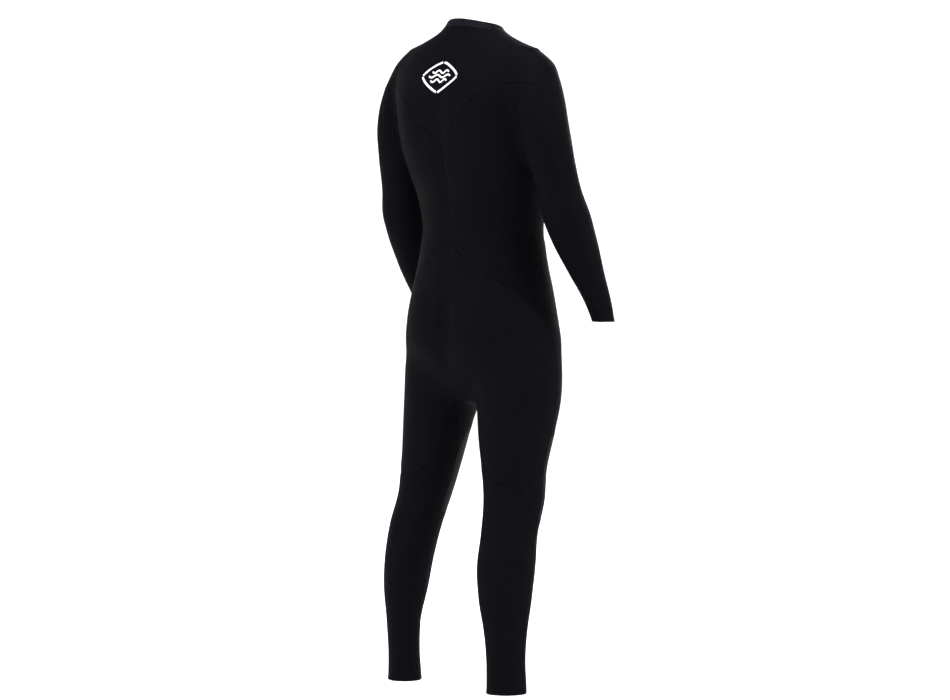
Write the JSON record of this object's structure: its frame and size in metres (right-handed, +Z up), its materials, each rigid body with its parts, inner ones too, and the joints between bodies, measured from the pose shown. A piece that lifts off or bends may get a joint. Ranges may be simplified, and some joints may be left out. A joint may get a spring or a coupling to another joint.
{
  "type": "full wetsuit",
  "caption": "Full-length neoprene wetsuit with long sleeves and legs, shaped as worn: shoulder yoke with printed badge, panelled back and seat, low collar, chest zip.",
  "frame": {"origin": "middle of the neck seal, on its axis", "axes": "+Z up the standing wearer, -Y to the wearer's front, +X to the wearer's left"},
  "size_m": [0.5922, 0.2678, 1.4432],
  "materials": {
    "neoprene": "jersey-lined neoprene, matt with a soft sheen",
    "torso_neoprene": "jersey-lined neoprene, slightly smoother",
    "knee_rubber": "abrasion-resistant lined neoprene",
    "collar_neoprene": "soft jersey-lined neoprene",
    "inner_neoprene": "plain lining jersey",
    "seal_rubber": "smooth skin, satin",
    "seam_tape": "bonded stretch tape",
    "zip_tape": "coated woven tape",
    "zip_plastic": "moulded",
    "slider_metal": "black coated, satin",
    "pull_plastic": "moulded",
    "print": "flexible printed ink, satin"
  },
  "bodies": {
    "suit": {"abdomen_panel": "neoprene", "ankle_seal_left": "seal_rubber", "ankle_seal_right": "seal_rubber", "back_emblem": "print", "back_panel_left": "torso_neoprene", "back_panel_right": "torso_neoprene", "calf_panel_left": "neoprene", "calf_panel_right": "neoprene", "centre_back_tape": "seam_tape", "chest_panel": "torso_neoprene", "collar_back": "collar_neoprene", "collar_front": "collar_neoprene", "crotch_gusset": "neoprene", "front_bib": "torso_neoprene", "front_thigh_left": "neoprene", "front_thigh_right": "neoprene", "inseam_tape_left": "seam_tape", "inseam_tape_right": "seam_tape", "knee_pad_left": "knee_rubber", "knee_pad_right": "knee_rubber", "neck_seal": "seal_rubber", "outer_leg_tape_left": "seam_tape", "outer_leg_tape_right": "seam_tape", "seat_panel": "neoprene", "seat_tape_left": "seam_tape", "seat_tape_right": "seam_tape", "shin_panel_left": "neoprene", "shin_panel_right": "neoprene", "shoulder_yoke": "neoprene", "side_tape_left": "seam_tape", "side_tape_right": "seam_tape", "sleeve_back_left": "neoprene", "sleeve_back_right": "neoprene", "sleeve_front_left": "neoprene", "sleeve_front_right": "neoprene", "sleeve_tape_left": "seam_tape", "sleeve_tape_right": "seam_tape", "wrist_seal_left": "seal_rubber", "wrist_seal_right": "seal_rubber", "yoke_tape_left": "seam_tape", "yoke_tape_right": "seam_tape", "zip_flap": "inner_neoprene", "zip_stop_closed": "zip_plastic", "zip_stop_open": "zip_plastic", "zip_tape_lower": "zip_tape", "zip_tape_upper": "zip_tape", "zip_teeth_lower": "zip_plastic", "zip_teeth_upper": "zip_plastic"},
    "slider": {"zip_slider": "slider_metal"},
    "pull_tab": {"zip_pull_tab": "pull_plastic"}
  },
  "joints": [
    {"name": "zip_slide", "type": "hinge", "parent": "suit", "child": "slider", "pos_m": [0, 0.63275, -0.42662], "axis": [0, 0.342, 0.9397], "range_deg": [0, 12.89]},
    {"name": "pull_tab_hinge", "type": "hinge", "parent": "slider", "child": "pull_tab", "pos_m": [-0.09026, -0.11798, -0.15337], "axis": [0, 0.342, 0.9397], "range_deg": [0, 170]}
  ]
}
